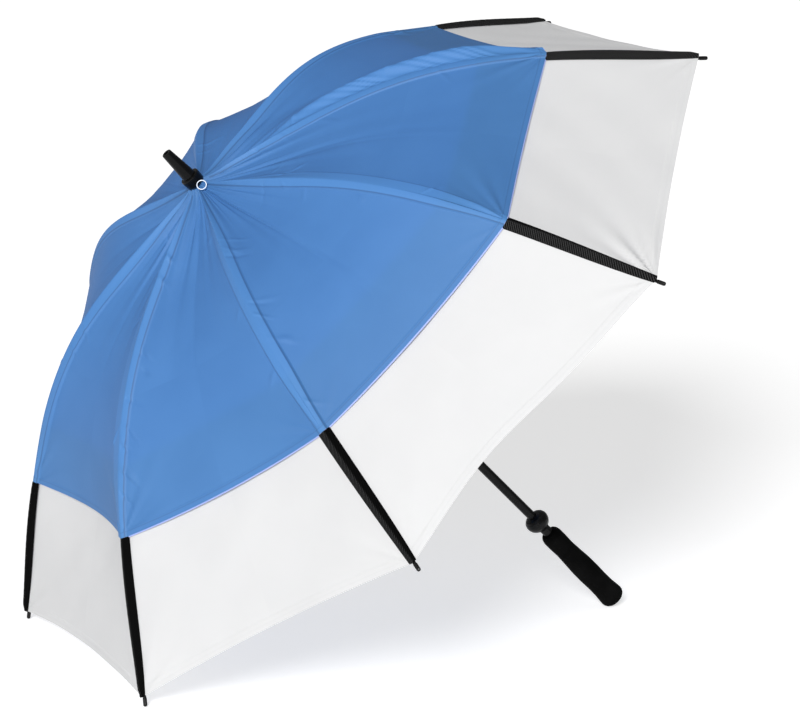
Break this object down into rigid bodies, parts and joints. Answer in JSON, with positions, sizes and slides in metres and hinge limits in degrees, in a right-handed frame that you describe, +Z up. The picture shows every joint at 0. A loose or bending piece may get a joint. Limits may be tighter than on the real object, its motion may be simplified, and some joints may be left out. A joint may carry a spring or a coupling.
{
  "type": "golf umbrella",
  "caption": "Open golf umbrella with a vented double canopy, folding ribs and stretchers, sliding runner, straight shaft and contoured grip.",
  "frame": {"origin": "on the floor, at the centre of the bounding box of the open umbrella lying on two rib tips and the end of its grip", "axes": "+Z up from the floor; +X along the floor from the canopy towards the grip; +Y to the left seen from the grip's end; the shaft lies in the XZ plane, 44.5 degrees above the floor"},
  "size_m": [0.8836, 1.2274, 0.8805],
  "materials": {
    "blue_pongee": "woven polyester, slight sheen",
    "white_pongee": "woven polyester, slight sheen",
    "black_tape": "ribbed woven tape",
    "black_plastic": "satin moulded",
    "black_nylon": "moulded",
    "black_grip": "soft matt foam rubber",
    "black_fibreglass": "painted glass fibre tube",
    "rib_fibreglass": "pultruded glass fibre",
    "steel": "zinc plated sheet and wire",
    "white_plastic": "translucent white"
  },
  "bodies": {
    "umbrella_frame": {"shaft": "black_fibreglass", "ferrule": "black_plastic", "collar": "black_plastic", "hang_ring": "white_plastic", "rosette": "black_plastic", "top_notch": "black_nylon", "notch_wire": "steel", "canopy_upper": "blue_pongee", "canopy_lower": "white_pongee", "top_stop": "black_plastic", "tip_cup": "black_plastic", "handle_core": "black_plastic", "grip": "black_grip"},
    "runner": {"runner": "black_nylon"},
    "top_catch": {"top_catch": "steel"},
    "bottom_catch": {"bottom_catch": "steel"},
    "rib_inner_1": {"rib_inner_1": "rib_fibreglass"},
    "rib_outer_1": {"rib_outer_1": "rib_fibreglass", "rib_pocket_1": "black_tape", "rib_tip_1": "black_plastic"},
    "stretcher_1": {"stretcher_1": "rib_fibreglass"},
    "rib_inner_2": {"rib_inner_2": "rib_fibreglass"},
    "rib_outer_2": {"rib_outer_2": "rib_fibreglass", "rib_pocket_2": "black_tape", "rib_tip_2": "black_plastic"},
    "stretcher_2": {"stretcher_2": "rib_fibreglass"},
    "rib_inner_3": {"rib_inner_3": "rib_fibreglass"},
    "rib_outer_3": {"rib_outer_3": "rib_fibreglass", "rib_pocket_3": "black_tape", "rib_tip_3": "black_plastic"},
    "stretcher_3": {"stretcher_3": "rib_fibreglass"},
    "rib_inner_4": {"rib_inner_4": "rib_fibreglass"},
    "rib_outer_4": {"rib_outer_4": "rib_fibreglass", "rib_pocket_4": "black_tape", "rib_tip_4": "black_plastic"},
    "stretcher_4": {"stretcher_4": "rib_fibreglass"},
    "rib_inner_5": {"rib_inner_5": "rib_fibreglass"},
    "rib_outer_5": {"rib_outer_5": "rib_fibreglass", "rib_pocket_5": "black_tape", "rib_tip_5": "black_plastic"},
    "stretcher_5": {"stretcher_5": "rib_fibreglass"},
    "rib_inner_6": {"rib_inner_6": "rib_fibreglass"},
    "rib_outer_6": {"rib_outer_6": "rib_fibreglass", "rib_pocket_6": "black_tape", "rib_tip_6": "black_plastic"},
    "stretcher_6": {"stretcher_6": "rib_fibreglass"},
    "rib_inner_7": {"rib_inner_7": "rib_fibreglass"},
    "rib_outer_7": {"rib_outer_7": "rib_fibreglass", "rib_pocket_7": "black_tape", "rib_tip_7": "black_plastic"},
    "stretcher_7": {"stretcher_7": "rib_fibreglass"},
    "rib_inner_8": {"rib_inner_8": "rib_fibreglass"},
    "rib_outer_8": {"rib_outer_8": "rib_fibreglass", "rib_pocket_8": "black_tape", "rib_tip_8": "black_plastic"},
    "stretcher_8": {"stretcher_8": "rib_fibreglass"}
  },
  "joints": [
    {"name": "runner_slide", "type": "slide", "parent": "umbrella_frame", "child": "runner", "axis": [0.7128, 0, -0.7014], "range_m": [0, 0.4202], "deforming": ["canopy_upper", "canopy_lower", "top_catch", "bottom_catch"]},
    {"name": "top_catch_press", "type": "hinge", "parent": "umbrella_frame", "child": "top_catch", "pos_m": [-0.03269, 0.003, 0.46739], "axis": [0.7014, 0, 0.7128], "range_deg": [0, 7], "stiffness_Nm_per_rad": 0.6},
    {"name": "bottom_catch_press", "type": "hinge", "parent": "umbrella_frame", "child": "bottom_catch", "pos_m": [0.23281, 0.003, 0.20612], "axis": [-0.7014, 0, -0.7128], "range_deg": [0, 7], "stiffness_Nm_per_rad": 0.6},
    {"name": "rib_inner_1_hinge", "type": "hinge", "parent": "umbrella_frame", "child": "rib_inner_1", "pos_m": [-0.23785, 0.00402, 0.68288], "axis": [-0.2684, 0.9239, -0.2728], "range_deg": [0, 75.32]},
    {"name": "rib_outer_1_hinge", "type": "hinge", "parent": "rib_inner_1", "child": "rib_outer_1", "pos_m": [0.0219, 0.12698, 0.84375], "axis": [0.2684, -0.9239, 0.2728], "range_deg": [0, 25.05]},
    {"name": "stretcher_1_hinge", "type": "hinge", "parent": "rib_inner_1", "child": "stretcher_1", "pos_m": [0.01212, 0.12094, 0.83292], "axis": [0.2684, -0.9239, 0.2728], "range_deg": [0, 135.94]},
    {"name": "rib_inner_2_hinge", "type": "hinge", "parent": "umbrella_frame", "child": "rib_inner_2", "pos_m": [-0.24184, 0.0097, 0.67883], "axis": [-0.648, 0.3827, -0.6585], "range_deg": [0, 75.32]},
    {"name": "rib_outer_2_hinge", "type": "hinge", "parent": "rib_inner_2", "child": "rib_outer_2", "pos_m": [-0.10405, 0.30656, 0.71576], "axis": [0.648, -0.3827, 0.6585], "range_deg": [0, 25.05]},
    {"name": "stretcher_2_hinge", "type": "hinge", "parent": "rib_inner_2", "child": "stretcher_2", "pos_m": [-0.10784, 0.29197, 0.71101], "axis": [0.648, -0.3827, 0.6585], "range_deg": [0, 135.94]},
    {"name": "rib_inner_3_hinge", "type": "hinge", "parent": "umbrella_frame", "child": "rib_inner_3", "pos_m": [-0.24747, 0.0097, 0.6731], "axis": [-0.648, -0.3827, -0.6585], "range_deg": [0, 75.32]},
    {"name": "rib_outer_3_hinge", "type": "hinge", "parent": "rib_inner_3", "child": "rib_outer_3", "pos_m": [-0.28218, 0.30656, 0.53474], "axis": [0.648, 0.3827, 0.6585], "range_deg": [0, 25.05]},
    {"name": "stretcher_3_hinge", "type": "hinge", "parent": "rib_inner_3", "child": "stretcher_3", "pos_m": [-0.27749, 0.29197, 0.5386], "axis": [0.648, 0.3827, 0.6585], "range_deg": [0, 135.94]},
    {"name": "rib_inner_4_hinge", "type": "hinge", "parent": "umbrella_frame", "child": "rib_inner_4", "pos_m": [-0.25146, 0.00402, 0.66905], "axis": [-0.2684, -0.9239, -0.2728], "range_deg": [0, 75.32]},
    {"name": "rib_outer_4_hinge", "type": "hinge", "parent": "rib_inner_4", "child": "rib_outer_4", "pos_m": [-0.40813, 0.12698, 0.40674], "axis": [0.2684, 0.9239, 0.2728], "range_deg": [0, 25.05]},
    {"name": "stretcher_4_hinge", "type": "hinge", "parent": "rib_inner_4", "child": "stretcher_4", "pos_m": [-0.39745, 0.12094, 0.41669], "axis": [0.2684, 0.9239, 0.2728], "range_deg": [0, 135.94]},
    {"name": "rib_inner_5_hinge", "type": "hinge", "parent": "umbrella_frame", "child": "rib_inner_5", "pos_m": [-0.25146, -0.00402, 0.66905], "axis": [0.2684, -0.9239, 0.2728], "range_deg": [0, 75.32]},
    {"name": "rib_outer_5_hinge", "type": "hinge", "parent": "rib_inner_5", "child": "rib_outer_5", "pos_m": [-0.40813, -0.12698, 0.40674], "axis": [-0.2684, 0.9239, -0.2728], "range_deg": [0, 25.05]},
    {"name": "stretcher_5_hinge", "type": "hinge", "parent": "rib_inner_5", "child": "stretcher_5", "pos_m": [-0.39745, -0.12094, 0.41669], "axis": [-0.2684, 0.9239, -0.2728], "range_deg": [0, 135.94]},
    {"name": "rib_inner_6_hinge", "type": "hinge", "parent": "umbrella_frame", "child": "rib_inner_6", "pos_m": [-0.24747, -0.0097, 0.6731], "axis": [0.648, -0.3827, 0.6585], "range_deg": [0, 75.32]},
    {"name": "rib_outer_6_hinge", "type": "hinge", "parent": "rib_inner_6", "child": "rib_outer_6", "pos_m": [-0.28218, -0.30656, 0.53474], "axis": [-0.648, 0.3827, -0.6585], "range_deg": [0, 25.05]},
    {"name": "stretcher_6_hinge", "type": "hinge", "parent": "rib_inner_6", "child": "stretcher_6", "pos_m": [-0.27749, -0.29197, 0.5386], "axis": [-0.648, 0.3827, -0.6585], "range_deg": [0, 135.94]},
    {"name": "rib_inner_7_hinge", "type": "hinge", "parent": "umbrella_frame", "child": "rib_inner_7", "pos_m": [-0.24184, -0.0097, 0.67883], "axis": [0.648, 0.3827, 0.6585], "range_deg": [0, 75.32]},
    {"name": "rib_outer_7_hinge", "type": "hinge", "parent": "rib_inner_7", "child": "rib_outer_7", "pos_m": [-0.10405, -0.30656, 0.71576], "axis": [-0.648, -0.3827, -0.6585], "range_deg": [0, 25.05]},
    {"name": "stretcher_7_hinge", "type": "hinge", "parent": "rib_inner_7", "child": "stretcher_7", "pos_m": [-0.10784, -0.29197, 0.71101], "axis": [-0.648, -0.3827, -0.6585], "range_deg": [0, 135.94]},
    {"name": "rib_inner_8_hinge", "type": "hinge", "parent": "umbrella_frame", "child": "rib_inner_8", "pos_m": [-0.23785, -0.00402, 0.68288], "axis": [0.2684, 0.9239, 0.2728], "range_deg": [0, 75.32]},
    {"name": "rib_outer_8_hinge", "type": "hinge", "parent": "rib_inner_8", "child": "rib_outer_8", "pos_m": [0.0219, -0.12698, 0.84375], "axis": [-0.2684, -0.9239, -0.2728], "range_deg": [0, 25.05]},
    {"name": "stretcher_8_hinge", "type": "hinge", "parent": "rib_inner_8", "child": "stretcher_8", "pos_m": [0.01212, -0.12094, 0.83292], "axis": [-0.2684, -0.9239, -0.2728], "range_deg": [0, 135.94]}
  ],
  "couplings": [
    {"joint": "rib_inner_1_hinge", "follows": "runner_slide", "rad_per_m": 3.1283},
    {"joint": "rib_outer_1_hinge", "follows": "runner_slide", "rad_per_m": 1.0403},
    {"joint": "stretcher_1_hinge", "follows": "runner_slide", "rad_per_m": 5.6464},
    {"joint": "rib_inner_2_hinge", "follows": "runner_slide", "rad_per_m": 3.1283},
    {"joint": "rib_outer_2_hinge", "follows": "runner_slide", "rad_per_m": 1.0403},
    {"joint": "stretcher_2_hinge", "follows": "runner_slide", "rad_per_m": 5.6464},
    {"joint": "rib_inner_3_hinge", "follows": "runner_slide", "rad_per_m": 3.1283},
    {"joint": "rib_outer_3_hinge", "follows": "runner_slide", "rad_per_m": 1.0403},
    {"joint": "stretcher_3_hinge", "follows": "runner_slide", "rad_per_m": 5.6464},
    {"joint": "rib_inner_4_hinge", "follows": "runner_slide", "rad_per_m": 3.1283},
    {"joint": "rib_outer_4_hinge", "follows": "runner_slide", "rad_per_m": 1.0403},
    {"joint": "stretcher_4_hinge", "follows": "runner_slide", "rad_per_m": 5.6464},
    {"joint": "rib_inner_5_hinge", "follows": "runner_slide", "rad_per_m": 3.1283},
    {"joint": "rib_outer_5_hinge", "follows": "runner_slide", "rad_per_m": 1.0403},
    {"joint": "stretcher_5_hinge", "follows": "runner_slide", "rad_per_m": 5.6464},
    {"joint": "rib_inner_6_hinge", "follows": "runner_slide", "rad_per_m": 3.1283},
    {"joint": "rib_outer_6_hinge", "follows": "runner_slide", "rad_per_m": 1.0403},
    {"joint": "stretcher_6_hinge", "follows": "runner_slide", "rad_per_m": 5.6464},
    {"joint": "rib_inner_7_hinge", "follows": "runner_slide", "rad_per_m": 3.1283},
    {"joint": "rib_outer_7_hinge", "follows": "runner_slide", "rad_per_m": 1.0403},
    {"joint": "stretcher_7_hinge", "follows": "runner_slide", "rad_per_m": 5.6464},
    {"joint": "rib_inner_8_hinge", "follows": "runner_slide", "rad_per_m": 3.1283},
    {"joint": "rib_outer_8_hinge", "follows": "runner_slide", "rad_per_m": 1.0403},
    {"joint": "stretcher_8_hinge", "follows": "runner_slide", "rad_per_m": 5.6464}
  ]
}
